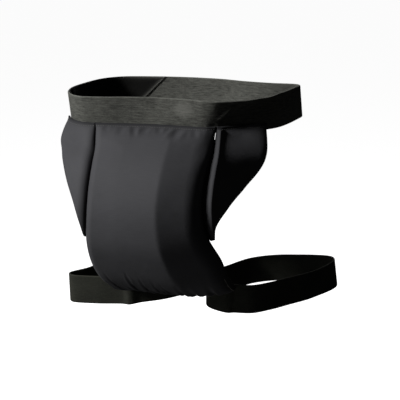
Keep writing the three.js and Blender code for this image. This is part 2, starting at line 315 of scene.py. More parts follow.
class SeatGuardSettings(PropertyGroup):
    webbing: PointerProperty(type=WebbingSizes, name="Webbing", description="Sizes of belt and straps")
    panel: PointerProperty(type=PanelSizes, name="Panel", description="Sizes of the padded panel")
    stitch: PointerProperty(type=StitchSizes, name="Stitches", description="Sizes of the stitching")
    finish: PointerProperty(type=GuardFinish, name="Finish", description="Colours of cloth and thread")
    stage: PointerProperty(type=StageSetup, name="Stage", description="Camera, light and floor")


def operation(kind):
    """A method of Value that adds a Math node of that kind."""
    return lambda self, *others: self.builder.math(kind, self, *others)


class Value:
    """An output socket whose arithmetic adds Math nodes to its tree."""

    def __init__(self, builder, socket):
        self.builder = builder
        self.socket = socket

    def __rsub__(self, other):
        return self.builder.math("SUBTRACT", other, self)

    __add__ = __radd__ = operation("ADD")
    __sub__ = operation("SUBTRACT")
    __mul__ = __rmul__ = operation("MULTIPLY")
    __truediv__ = operation("DIVIDE")
    __pow__ = operation("POWER")
    __abs__ = operation("ABSOLUTE")
    sine = operation("SINE")
    sign = operation("SIGN")
    at_least = operation("MAXIMUM")
    at_most = operation("MINIMUM")


def found(sockets, key):
    """A socket by its identifier, name or index."""
    for socket in sockets:
        if socket.identifier == key:
            return socket
    return sockets[key]


class NodeBuilder:
    """Adds nodes to one tree."""

    def __init__(self, tree):
        self.tree = tree

    def node(self, kind, inputs=None, **settings):
        """A node of that type, with its settings made first, and then its sockets fed."""
        made = self.tree.nodes.new(kind)
        for name, value in settings.items():
            setattr(made, name, value)
        for key, value in (inputs or {}).items():
            self.feed(found(made.inputs, key), value)
        return Outputs(self, made)

    def math(self, kind, *values):
        return self.node("ShaderNodeMath", dict(enumerate(values)), operation=kind)["Value"]

    def feed(self, socket, value):
        if isinstance(value, Value):
            self.tree.links.new(value.socket, socket)
        else:
            socket.default_value = value


class Outputs:
    """A node's output sockets, by identifier, name or index."""

    def __init__(self, builder, node):
        self.builder = builder
        self.node = node

    def __getitem__(self, key):
        return Value(self.builder, found(self.node.outputs, key))


def new_material(name):
    material = bpy.data.materials.new(name)
    material.use_nodes = True
    material.node_tree.nodes.clear()
    return material, NodeBuilder(material.node_tree)


def finish_material(build, inputs):
    """Principled shader with constants on its own sockets and the varying values linked."""
    shader = build.node("ShaderNodeBsdfPrincipled", inputs)
    build.node("ShaderNodeOutputMaterial", {"Surface": shader["BSDF"]})


def tinted(build, factor, low, high):
    """Colour between two by a factor from 0 to 1, where each is a tint or another node's colour."""
    low, high = (each if isinstance(each, Value) else (*each, 1.0) for each in (low, high))
    inputs = {"Factor_Float": factor, "A_Color": low, "B_Color": high}
    return build.node("ShaderNodeMix", inputs, data_type="RGBA")["Result_Color"]


def shade(colour, factor):
    return tuple(channel * factor for channel in colour)


def noise(build, vector, scale, detail, rough):
    made = build.node("ShaderNodeTexNoise", {
        "Vector": vector, "Scale": scale, "Detail": detail, "Roughness": rough}, noise_dimensions="3D")
    return made["Fac"]


def stretched_noise(build, uv, scales, detail, rough):
    """Noise with its own scale along and across the cloth."""
    mapped = build.node("ShaderNodeMapping", {"Vector": uv, "Scale": (*scales, 1.0)}, vector_type="POINT")
    return noise(build, mapped["Vector"], 1.0, detail, rough)


def crossed_threads(along, across, pitches):
    """Height of threads that cross at the given pitches."""
    return (along * (2 * math.pi / pitches[0])).sine() * (across * (2 * math.pi / pitches[1])).sine()


def bump(build, height, strength, distance):
    made = build.node("ShaderNodeBump", {"Height": height, "Strength": strength, "Distance": distance})
    return made["Normal"]


def cloth_place(build, uv_map):
    """UV of a cloth and its two distances, in metres, with the edge mask at that place, for painted shade and
    painted highlight near the edges.
    """
    uv = build.node("ShaderNodeUVMap", uv_map=uv_map)["UV"]
    split = build.node("ShaderNodeSeparateXYZ", {"Vector": uv})
    wear = build.node("ShaderNodeAttribute", attribute_name="wear")["Fac"]
    return uv, split["X"], split["Y"], wear


def woven_elastic(name, colour, width, streak, highlight_at=None):
    """Ribbed woven elastic: crossed threads on the ribs, heathered streaks, scuffed selvedges and a painted
    highlight at cut ends.

    highlight_at is the distance along the webbing of a painted highlight near its top edge.
    """
    material, build = new_material(name)
    uv, along, across, wear = cloth_place(build, "webbing")
    threads = crossed_threads(along, across, WEBBING_THREADS)
    streaks = stretched_noise(build, uv, (75.0, 420.0), 4.0, 0.65)
    broad = stretched_noise(build, uv, (14.0, 40.0), 2.0, 0.5)
    fuzz = stretched_noise(build, uv, (300.0, 900.0), 2.0, 0.5)
    from_edge = (0.5 - abs(across / width - 0.5)) * width
    selvedge = (1.0 - from_edge / SELVEDGE).at_least(0.0)
    lightness = (streaks - 0.5) * streak + (fuzz - 0.5) * 0.7 + (broad - 0.5) * 0.5
    lightness = lightness + threads * 0.12 + selvedge * 0.35 + 0.42
    lightness = lightness.at_least(0.0).at_most(1.0)
    cloth = tinted(build, lightness, shade(colour, 0.4), shade(colour, 1.8))
    # Painted highlight, pale at the lapped end's cut tip and edges
    painted_highlight = wear ** 2.5
    # Painted highlight: a pale place on the belt's near rim, below its top edge
    if highlight_at is not None:
        aside = (along - highlight_at) / HIGHLIGHT_REACH[0]
        below = (across - width * HIGHLIGHT_HEIGHT) / HIGHLIGHT_REACH[1]
        highlight_spot = (1.0 - aside * aside - below * below).at_least(0.0)
        painted_highlight = (painted_highlight + highlight_spot * (streaks * 1.1 + 0.1)).at_most(1.0)
    height = threads * 0.4 + fuzz * 0.9 + streaks * 0.9
    finish_material(build, {
        "Specular IOR Level": 0.15, "Sheen Weight": 0.02, "Sheen Roughness": 0.5,
        "Base Color": tinted(build, painted_highlight, cloth, PAINTED_HIGHLIGHT_COLOUR), "Roughness": (0.78 + fuzz * 0.2).at_most(1.0),
        "Normal": bump(build, height, 0.55, 0.0006)})
    return material


def cover_cloth(name, colour):
    """Smooth woven cover: a fine plain weave with slubs, dull folds and painted shade along its sewn edges."""
    material, build = new_material(name)
    uv, along, across, wear = cloth_place(build, "weave")
    place = build.node("ShaderNodeTexCoord")["Object"]
    weave = crossed_threads(along, across, COVER_THREADS)
    slubs = stretched_noise(build, uv, (60.0, 900.0), 3.0, 0.6)
    patches = noise(build, place, 14.0, 3.0, 0.5)
    creases = noise(build, place, 70.0, 3.0, 0.55)
    lightness = 0.42 + weave * 0.05 + (slubs - 0.5) * 0.3 + (patches - 0.5) * 0.5
    lightness = lightness.at_least(0.0).at_most(1.0)
    cloth = tinted(build, lightness, shade(colour, 0.62), shade(colour, 1.5))
    height = weave * 0.2 + slubs * 0.3 + creases * 1.5
    # The cloth darkens towards its sewn edges and rims: painted shade along the seams
    finish_material(build, {
        "Specular IOR Level": 0.1, "Sheen Weight": 0.01, "Sheen Roughness": 0.4,
        "Base Color": tinted(build, wear * wear * 0.8, cloth, shade(colour, 0.3)),
        "Roughness": 0.64 + (patches - 0.5) * 0.16 + (slubs - 0.5) * 0.1 + wear * 0.12,
        "Normal": bump(build, height, 0.35, 0.0006)})
    return material


def sewing_thread(name, colour):
    """Twisted thread with a slight gloss."""
    material, build = new_material(name)
    fibre = noise(build, build.node("ShaderNodeTexCoord")["Object"], 900.0, 2.0, 0.5)
    finish_material(build, {
        "Specular IOR Level": 0.4, "Base Color": tinted(build, fibre, shade(colour, 0.6), shade(colour, 1.4)),
        "Roughness": 0.45 + fibre * 0.25, "Normal": bump(build, fibre, 0.3, 0.0002)})
    return material


def centripetal(points, places, closed=False):
    """Points on the centripetal curve through stations (..., count, 3), at places counted in stations."""
    count = points.shape[-2]
    if closed:
        index = np.floor(places).astype(int)
        around = [points[..., (index + step) % count, :] for step in (-1, 0, 1, 2)]
    else:
        index = np.minimum(np.floor(places).astype(int), count - 2)
        before = 2 * points[..., :1, :] - points[..., 1:2, :]
        after = 2 * points[..., -1:, :] - points[..., -2:-1, :]
        extended = np.concatenate([before, points, after], axis=-2)
        around = [extended[..., index + step, :] for step in range(4)]
    share = (places - index)[:, None]
    p0, p1, p2, p3 = around
    d0, d1, d2 = (np.sqrt(np.linalg.norm(b - a, axis=-1, keepdims=True)) for a, b in zip(around, around[1:]))
    start = ((p1 - p0) / d0 - (p2 - p0) / (d0 + d1) + (p2 - p1) / d1) * d1
    end = ((p2 - p1) / d1 - (p3 - p1) / (d1 + d2) + (p3 - p2) / d2) * d1
    square = 3 * (p2 - p1) - 2 * start - end
    cube = 2 * (p1 - p2) + start + end
    return p1 + share * (start + share * (square + share * cube))


def unit(vectors):
    return vectors / np.maximum(np.linalg.norm(vectors, axis=-1, keepdims=True), 1e-12)


def running_length(lines):
    steps = np.linalg.norm(np.diff(lines, axis=-2), axis=-1)
    return np.concatenate([np.zeros(steps.shape[:-1] + (1,)), np.cumsum(steps, axis=-1)], axis=-1)


class WebbingPath:
    """Closed mid line of a webbing loop, with a frame that leans as its stations say."""

    SAMPLES = 4000
    NUDGE = 0.001

    def __init__(self, stations, height):
        self.points = np.array([(station.x * MM, station.y * MM, height) for station in stations])
        self.leans = np.radians([station.lean for station in stations])
        self.places = np.linspace(0, len(stations), self.SAMPLES)
        self.arcs = running_length(centripetal(self.points, self.places, closed=True))
        self.length = self.arcs[-1]

    def lean_at(self, places):
        index = np.floor(places).astype(int) % len(self.leans)
        share = places - np.floor(places)
        share = share * share * (3 - 2 * share)
        return self.leans[index] * (1 - share) + np.roll(self.leans, -1)[index] * share

    def frame_at(self, arcs):
        """Points, outward directions, upward directions and leans at distances along the line."""
        places = np.interp(np.mod(arcs, self.length), self.arcs, self.places)
        ahead = centripetal(self.points, places + self.NUDGE, closed=True)
        behind = centripetal(self.points, places - self.NUDGE, closed=True)
        level = np.cross(unit((ahead - behind) * (1, 1, 0)), UP)
        lean = self.lean_at(places)
        sine, cosine = np.sin(lean)[:, None], np.cos(lean)[:, None]
        point = centripetal(self.points, places, closed=True)
        return point, level * cosine - UP * sine, UP * cosine + level * sine, lean

    def outside(self, arcs, height, distance):
        point, out, up, _ = self.frame_at(arcs)
        return point + up * height + out * distance

    def arc_nearest(self, x, y):
        """Distance along the line of its point nearest to a place in plan."""
        line = centripetal(self.points, self.places, closed=True)
        return self.arcs[np.argmin(np.hypot(line[:, 0] - x, line[:, 1] - y))]


def roll(distance, reach):
    """Share of the full padding at a distance in from a stitched edge, as a quarter round."""
    share = np.clip(distance / reach, 0, 1)
    return np.sqrt(1 - (1 - share) ** 2)


def swell(distance, reach):
    """Share of the full padding at a distance down from the top edge, as a gentle swell."""
    share = np.clip(distance / reach, 0, 1)
    return share * (2 - share)


def facet(across, right_ridge, panel):
    """How far a point of the centre panel has come forward, from 0 in the middle to 1 at a seam."""
    edge = np.where(across < 0, panel.left_ridge, right_ridge)
    soft = panel.ridge_softness

    def ramp(value):
        return soft * np.logaddexp(0, value / soft)

    start = ramp(-edge)
    return (ramp(np.abs(across) - edge) - start) / (ramp(1 - edge) - start)


def belt_heights(webbing, panel):
    top = panel.top_lap - webbing.belt_width / 2
    return top, top - panel.seam_lap


def centre_columns(across, waist, webbing, panel):
    """Stations of the centre panel's inner face, for each place across it."""
    out = webbing.belt_thick / 2 + panel.sewn_gap
    rows = [waist.outside(across * panel.centre_arc, height, out) for height in belt_heights(webbing, panel)]
    for row in PANEL_ROWS:
        x = across * (row.half * MM - panel.sewn_gap / 2) + row.sway * MM
        fall = np.where(across < 0, row.left_fall, row.right_fall)
        y = (fall * facet(across, row.ridge, panel) - row.back) * MM
        rows.append(np.stack([x, y, np.full_like(x, row.drop * MM)], axis=-1))
    return np.stack(rows, axis=1)


def wing_columns(side, reach, waist, webbing, panel):
    """Stations of a wing's inner face, for each reach out from its seam."""
    out = webbing.belt_thick / 2 + panel.sewn_gap
    arcs = side * (panel.centre_arc + panel.sewn_gap + reach * panel.wing_arc)
    rows = [waist.outside(arcs, height, out) for height in belt_heights(webbing, panel)]
    for row, wing in zip(PANEL_ROWS, RIGHT_WING_ROWS if side > 0 else LEFT_WING_ROWS):
        x = side * (row.half * MM + panel.sewn_gap / 2 + reach * wing.width * MM) + row.sway * MM
        y = ((row.right_fall if side > 0 else row.left_fall) - row.back + reach * wing.wrap) * MM
        rows.append(np.stack([x, y, (row.drop - reach * wing.sag) * MM], axis=-1))
    return np.stack(rows, axis=1)


def even_rows(columns, rows):
    """Evenly spaced points down each smooth column."""
    places = np.linspace(0, columns.shape[1] - 1, SAMPLES_PER_STATION * columns.shape[1])
    lines = centripetal(columns, places)
    arcs = running_length(lines)
    grid = np.empty((len(columns), rows + 1, 3))
    for line, arc, out in zip(lines, arcs, grid):
        target = np.linspace(0, arc[-1], rows + 1)
        for axis in range(3):
            out[:, axis] = np.interp(target, arc, line[:, axis])
    return grid


def grid_normals(grid):
    """Outward directions of a panel grid, towards the back."""
    return unit(np.cross(np.gradient(grid, axis=1), np.gradient(grid, axis=0)))


class PanelGrid:
    """Inner face of a padded piece as a grid, with each point's distance from the sewn edges."""

    def __init__(self, inner):
        self.inner = inner
        self.normals = grid_normals(inner)
        self.from_top = running_length(inner)
        self.from_end = self.from_top[:, -1:] - self.from_top
        left = np.linalg.norm(inner - inner[:1], axis=-1)
        right = np.linalg.norm(inner - inner[-1:], axis=-1)
        self.from_side = np.minimum(left, right)

    def skin(self, thickness):
        return self.inner + self.normals * thickness[..., None]


def pucker_depth(grid, across, puckers, from_edge):
    """Depth of the puckers along one edge."""
    depth = np.zeros_like(from_edge)
    half = np.linalg.norm(grid.inner[0] - grid.inner[-1], axis=-1)[None, :] / 2
    for pucker in puckers:
        middle = pucker.across * half + pucker.lean * MM * from_edge / (pucker.length * MM)
        aside = (across[:, None] * half - middle) / (pucker.width * MM)
        fade = np.exp(-((from_edge / (pucker.length * MM)) ** 4))
        lips = np.exp(-((np.abs(aside) - LIP_PLACE) / LIP_WIDTH) ** 2)
        depth += pucker.depth * MM * fade * (np.exp(-aside ** 2) - LIP_RISE * lips)
    return depth


def link(name, data):
    made = bpy.data.objects.new(name, data)
    bpy.context.scene.collection.objects.link(made)
    return made


def grid_faces(columns, rows, flip=False):
    """Corner indices of a grid's quads, facing away from the wearer."""
    index = np.arange(columns * rows).reshape(columns, rows)
    quads = np.stack([index[:-1, :-1], index[:-1, 1:], index[1:, 1:], index[1:, :-1]], axis=-1).reshape(-1, 4)
    return quads[:, ::-1] if flip else quads


def settle_cover(skin, slack_weight, panel):
    """Lets the cover cloth settle over its filling, held at its sewn edges, and caps how far it moves."""
    columns, rows = skin.shape[:2]
    mesh = bpy.data.meshes.new("cover")
    mesh.from_pydata(skin.reshape(-1, 3).tolist(), [], grid_faces(columns, rows).tolist())
    cover = link("cover", mesh)
    border = np.zeros((columns, rows), bool)
    border[[0, -1], :] = True
    border[:, [0, -1]] = True
    held = cover.vertex_groups.new(name="held")
    held.add(np.flatnonzero(border.ravel()).tolist(), 1.0, "REPLACE")
    slack = cover.vertex_groups.new(name="slack")
    for index, weight in enumerate(slack_weight.ravel()):
        slack.add([index], float(weight), "REPLACE")
    cloth = cover.modifiers.new("settle", "CLOTH")
    for name, value in CLOTH_SETTINGS.items():
        setattr(cloth.settings, name, value)
    cloth.settings.vertex_group_mass = held.name
    cloth.settings.vertex_group_shrink = slack.name
    cloth.settings.shrink_max = -panel.slack
    cloth.settings.uniform_pressure_force = panel.filling
    cloth.settings.effector_weights.gravity = 0
    cloth.collision_settings.use_collision = False
    cloth.point_cache.frame_start = 1
    cloth.point_cache.frame_end = SETTLE_FRAMES
    scene = bpy.context.scene
    for number in range(1, SETTLE_FRAMES + 1):
        scene.frame_set(number)
    settled = np.empty(columns * rows * 3, np.float32)
    evaluated = cover.evaluated_get(bpy.context.evaluated_depsgraph_get())
    evaluated.data.vertices.foreach_get("co", settled)
    scene.frame_set(1)
    bpy.data.objects.remove(cover)
    bpy.data.meshes.remove(mesh)
    moved = settled.reshape(skin.shape) - skin
    far = np.linalg.norm(moved, axis=-1, keepdims=True)
    return skin + moved * np.minimum(1, panel.cloth_reach / np.maximum(far, 1e-9))


def perimeter(columns, rows):
    """Grid places round the border in order, once each."""
    top = [(column, 0) for column in range(columns)]
    right = [(columns - 1, row) for row in range(1, rows)]
    bottom = [(column, rows - 1) for column in range(columns - 2, -1, -1)]
    left = [(0, row) for row in range(rows - 2, 0, -1)]
    return np.array(top + right + bottom + left)


class Shell:
    """One closed slab between an inner and an outer skin, with a rounded rim.

    roundness gives how far the rim bulges at the first column, last column, top and end, as a share of its
    half thickness.
    """

    RIM_TURNS = np.radians([36, 72, 108, 144])
    # How far in from the edges the mask for painted shade and painted highlight reaches, in metres
    EDGE_SHADE_AND_HIGHLIGHT_REACH = 0.006

    def __init__(self, inner, outer, roundness):
        columns, rows = inner.shape[:2]
        ring = perimeter(columns, rows)
        at_ring = (ring[:, 0], ring[:, 1])
        middle = (outer + inner) / 2
        half = (outer[at_ring] - inner[at_ring]) / 2
        away = self.rim_directions(middle, roundness)[at_ring] * np.linalg.norm(half, axis=-1, keepdims=True)
        rims = [middle[at_ring] + half * math.cos(turn) + away * math.sin(turn) for turn in self.RIM_TURNS]
        self.vertices = np.concatenate([outer.reshape(-1, 3), inner.reshape(-1, 3), *rims])
        count = columns * rows
        border = ring[:, 0] * rows + ring[:, 1]
        loops = [2 * count + step * len(ring) + np.arange(len(ring)) for step in range(len(rims))]
        loops = [border, *loops, count + border]
        strips = [np.stack([a, np.roll(a, -1), np.roll(b, -1), b], axis=-1) for a, b in zip(loops, loops[1:])]
        back = grid_faces(columns, rows, True) + count
        self.faces = np.concatenate([grid_faces(columns, rows), back, *strips])
        across = running_length(np.swapaxes(middle, 0, 1)).T
        down = running_length(middle)
        flat = np.stack([across, down], axis=-1)
        self.flat = np.concatenate([*([flat.reshape(-1, 2)] * 2), *([flat[at_ring]] * len(rims))])
        from_edge = np.minimum(np.minimum(across, across[-1:] - across), np.minimum(down, down[:, -1:] - down))
        # Mask near the edges: painted shade on the covers, painted highlight on the lapped end
        wear = np.exp(-from_edge / self.EDGE_SHADE_AND_HIGHLIGHT_REACH)
        self.wear = np.concatenate([*([wear.ravel()] * 2), np.ones(len(ring) * len(rims))])

    @staticmethod
    def rim_directions(middle, roundness):
        """Directions out of the grid along its border, as long as the rim is round there."""
        first, last, top, end = roundness
        away = np.zeros_like(middle)
        away[0] += unit(middle[0] - middle[1]) * first
        away[-1] += unit(middle[-1] - middle[-2]) * last
        away[:, 0] += unit(middle[:, 0] - middle[:, 1]) * top
        away[:, -1] += unit(middle[:, -1] - middle[:, -2]) * end
        return away


def shell_piece(name, shells, material, uv_name="weave"):
    """One mesh of closed shells, with each place's flat position as a UV map and its edge mask, for painted
    edge shade and highlight, as an attribute.
    """
    starts = np.cumsum([0] + [len(shell.vertices) for shell in shells])
    vertices = np.concatenate([shell.vertices for shell in shells])
    faces = np.concatenate([shell.faces + start for shell, start in zip(shells, starts)])
    flat = np.concatenate([shell.flat for shell in shells])
    mesh = bpy.data.meshes.new(name)
    mesh.from_pydata(vertices.tolist(), [], faces.tolist())
    uv = mesh.uv_layers.new(name=uv_name)
    corners = np.empty(len(mesh.loops), np.int32)
    mesh.loops.foreach_get("vertex_index", corners)
    uv.data.foreach_set("uv", flat[corners].astype(np.float32).ravel())
    wear = mesh.attributes.new("wear", "FLOAT", "POINT")
    wear.data.foreach_set("value", np.concatenate([shell.wear for shell in shells]).astype(np.float32))
    mesh.shade_smooth()
    mesh.materials.append(material)
    return link(name, mesh)


def new_geometry_tree(name, **sockets):
    """Geometry Nodes tree with named inputs, a builder for its nodes, and those inputs."""
    tree = bpy.data.node_groups.new(name, "GeometryNodeTree")
    for label, kind in {"Geometry": "Geometry", **sockets}.items():
        tree.interface.new_socket(label, in_out="INPUT", socket_type="NodeSocket" + kind)
    tree.interface.new_socket("Geometry", in_out="OUTPUT", socket_type="NodeSocketGeometry")
    build = NodeBuilder(tree)
    return tree, build, build.node("NodeGroupInput")


def finish_tree(build, geometry, material):
    """Ends a tree with a smooth plain mesh in its material."""
    whole = build.node("GeometryNodeRealizeInstances", {"Geometry": geometry})
    smooth = build.node("GeometryNodeSetShadeSmooth", {"Geometry": whole["Geometry"]})
    dressed = build.node("GeometryNodeSetMaterial", {"Geometry": smooth["Geometry"], "Material": material})
    build.node("NodeGroupOutput", {"Geometry": dressed["Geometry"]})


def captured(build, geometry, label, value):
    """Geometry that carries a value, which is read from the node by its label."""
    kept = build.node("GeometryNodeCaptureAttribute", {"Geometry": geometry}, domain="POINT")
    kept.node.capture_items.new("FLOAT", label)
    build.feed(kept.node.inputs[label], value)
    return kept


def webbing_tree():
    """Sweeps a ribbed webbing section with thinned selvedges along a curve, with its flat place as a UV map."""
    tree, build, given = new_geometry_tree(
        "ribbed_webbing", Width="Float", Thickness="Float", Ribs="Int", Depth="Float", Material="Material")
    width, ribs = given["Width"], given["Ribs"]
    section = {"Width": given["Thickness"], "Height": width}
    outline = build.node("GeometryNodeCurvePrimitiveQuadrilateral", section, mode="RECTANGLE")
    outline = build.node(
        "GeometryNodeResampleCurve", {"Curve": outline["Curve"], "Count": ribs * 8}, mode="COUNT")
    position = build.node("GeometryNodeInputPosition")["Position"]
    split = build.node("ShaderNodeSeparateXYZ", {"Vector": position})
    x, y = split["X"], split["Y"]
    taper = ((abs(y) / width * 2.0 - 0.93) / 0.07).at_least(0.0)
    selvedge = (1.0 - taper * taper).at_least(0.0) ** 0.5 * 0.6 + 0.4
    furrow = 1.0 - abs(((y / width + 0.5) * ribs * math.pi).sine())
    ribbed = (x - x.sign() * furrow * given["Depth"]) * selvedge
    moved = build.node("ShaderNodeCombineXYZ", {"X": ribbed, "Y": y})
    profile = build.node(
        "GeometryNodeSetPosition", {"Geometry": outline["Curve"], "Position": moved["Vector"]})
    profile = captured(build, profile["Geometry"], "Across", y + width * 0.5)
    length = build.node("GeometryNodeSplineParameter")["Length"]
    path = captured(build, given["Geometry"], "Along", length)
    swept = build.node(
        "GeometryNodeCurveToMesh", {"Curve": path["Geometry"], "Profile Curve": profile["Geometry"]})
    flat = build.node("ShaderNodeCombineXYZ", {"X": path["Along"], "Y": profile["Across"]})
    webbing = {"Geometry": swept["Mesh"], "Name": "webbing", "Value": flat["Vector"]}
    marked = build.node("GeometryNodeStoreNamedAttribute", webbing, data_type="FLOAT2", domain="CORNER")
    finish_tree(build, marked["Geometry"], given["Material"])
    return tree


def stitch_tree():
    """Lays rounded stitches along curves."""
    tree, build, given = new_geometry_tree(
        "row_of_stitches", Pitch="Float", Length="Float", Thread="Float", Material="Material")
    spaced = build.node(
        "GeometryNodeResampleCurve", {"Curve": given["Geometry"], "Length": given["Pitch"]}, mode="LENGTH")
    stitch = build.node("GeometryNodeMeshUVSphere", {"Segments": 8, "Rings": 5, "Radius": 0.5})
    tangent = build.node("GeometryNodeInputTangent")["Tangent"]
    turned = build.node("FunctionNodeAlignRotationToVector", {"Vector": tangent}, axis="X")
    size = build.node(
        "ShaderNodeCombineXYZ", {"X": given["Length"], "Y": given["Thread"], "Z": given["Thread"]})
    laid = build.node("GeometryNodeInstanceOnPoints", {
        "Points": spaced["Curve"], "Instance": stitch["Mesh"], "Rotation": turned["Rotation"],
        "Scale": size["Vector"]})
    finish_tree(build, laid["Instances"], given["Material"])
    return tree


def line_object(name, lines, cyclic=False, tilts=None):
    """Curve object with one straight-segment spline for each line of points."""
    data = bpy.data.curves.new(name, "CURVE")
    data.dimensions = "3D"
    data.twist_mode = "Z_UP"
    for number, line in enumerate(lines):
        spline = data.splines.new("POLY")
        spline.points.add(len(line) - 1)
        spline.use_cyclic_u = cyclic
        spline.points.foreach_set("co", np.column_stack([line, np.ones(len(line))]).ravel())
        if tilts is not None:
            spline.points.foreach_set("tilt", tilts[number])
    return link(name, data)


def grown(name, source, tree, values):
    """Plain mesh object from a Geometry Nodes tree on a source curve, which is then removed."""
    modifier = source.modifiers.new("grow", "NODES")
    modifier.node_group = tree
    for item in tree.interface.items_tree:
        if item.in_out == "INPUT" and item.name in values:
            modifier[item.identifier] = values[item.name]
    depsgraph = bpy.context.evaluated_depsgraph_get()
    mesh = bpy.data.meshes.new_from_object(
        source.evaluated_get(depsgraph), preserve_all_data_layers=True, depsgraph=depsgraph)
    mesh.name = name
    source.modifiers.remove(modifier)
    data = source.data
    bpy.data.objects.remove(source)
    bpy.data.curves.remove(data)
    return link(name, mesh)


def webbing_loop(name, path, start, sizes, webbing, material):
    """Ribbed webbing once round a path, from a distance along it, with the given width and thickness."""
    count = int(round(path.length / webbing.step))
    point, _, _, lean = path.frame_at(start + np.arange(count) * path.length / count)
    width, thick = sizes
    return grown(name, line_object(name + "_line", [point], True, [lean]), webbing_tree(), {
        "Width": width, "Thickness": thick, "Ribs": webbing.ribs, "Depth": webbing.rib_depth,
        "Material": material})


def skin_line(skin, columns, rows, stitch):
    """Points on a skin at fractional grid places, lifted off it for a stitch."""
    normals = grid_normals(skin)
    columns, rows = np.broadcast_arrays(columns, rows)
    left = np.clip(np.floor(columns).astype(int), 0, skin.shape[0] - 2)
    top = np.clip(np.floor(rows).astype(int), 0, skin.shape[1] - 2)
    a, b = (columns - left)[:, None], (rows - top)[:, None]

    def blend(values):
        upper = values[left, top] * (1 - a) + values[left + 1, top] * a
        lower = values[left, top + 1] * (1 - a) + values[left + 1, top + 1] * a
        return upper * (1 - b) + lower * b

    return blend(skin) + blend(normals) * stitch.thread * STITCH_LIFT


def seam_across(skin, row, stitch):
    """Line right across a skin at one row of its grid."""
    columns = skin.shape[0] - 1
    return skin_line(skin, np.linspace(1.5, columns - 1.5, 3 * columns), row, stitch)


def waist_path():
    return WebbingPath(WAIST_STATIONS, 0.0)


def strap_path(side, webbing, panel):
    """Loop of a leg strap: sewn behind the hem's corner, then round the thigh."""
    hem = centre_columns(side * STRAP_SEWN[::side], waist_path(), webbing, panel)[:, -1] / MM
    behind = (panel.strap_gap + webbing.strap_thick / 2) / MM
    sewn = [Station(x, y + behind, 0) for x, y, _ in hem]
    free = RIGHT_STRAP_STATIONS if side > 0 else LEFT_STRAP_STATIONS
    height = webbing.right_strap_height if side > 0 else webbing.left_strap_height
    return WebbingPath(sewn + free, height)


def material_once(name, make, *values):
    """A finish that several pieces share, made the first time it is asked for."""
    return bpy.data.materials.get(name) or make(name, *values)


def panel_cloth(finish):
    return material_once("seat_cover_weave", cover_cloth, finish.panel)


def stitched(name, lines, stitch, thread):
    """One mesh of stitches along several lines."""
    piece = grown(name, line_object(name + "_lines", lines), stitch_tree(), {
        "Pitch": stitch.pitch, "Length": stitch.length, "Thread": stitch.thread, "Material": thread})
    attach(piece, "root")
    return piece


def crease_belt(belt, path, start):
    """Raises the belt's creases on its swept mesh."""
    mesh = belt.data
    corners = np.empty(len(mesh.loops), np.int32)
    mesh.loops.foreach_get("vertex_index", corners)
    flat = np.empty(len(mesh.loops) * 2, np.float32)
    mesh.attributes["webbing"].data.foreach_get("vector", flat)
    along = np.empty(len(mesh.vertices))
    along[corners] = flat[0::2]
    places = np.empty(len(mesh.vertices) * 3, np.float32)
    mesh.vertices.foreach_get("co", places)
    places = places.reshape(-1, 3)
    arcs = np.mod(start + along, path.length)
    _, out, _, _ = path.frame_at(arcs)
    rise = np.zeros(len(places))
    for crease in BELT_CREASES:
        aside = arcs - path.arc_nearest(crease.x * MM, crease.y * MM)
        above = places[:, 2] - crease.height * MM
        slope = math.radians(crease.slope)
        lengthwise = aside * math.cos(slope) + above * math.sin(slope)
        across = above * math.cos(slope) - aside * math.sin(slope)
        reach = np.exp(-((2 * lengthwise / (crease.length * MM)) ** 4))
        rise += crease.rise * MM * reach * np.exp(-((across / (crease.width * MM)) ** 2))
    mesh.vertices.foreach_set("co", (places + out * rise[:, None]).astype(np.float32).ravel())
    mesh.update()


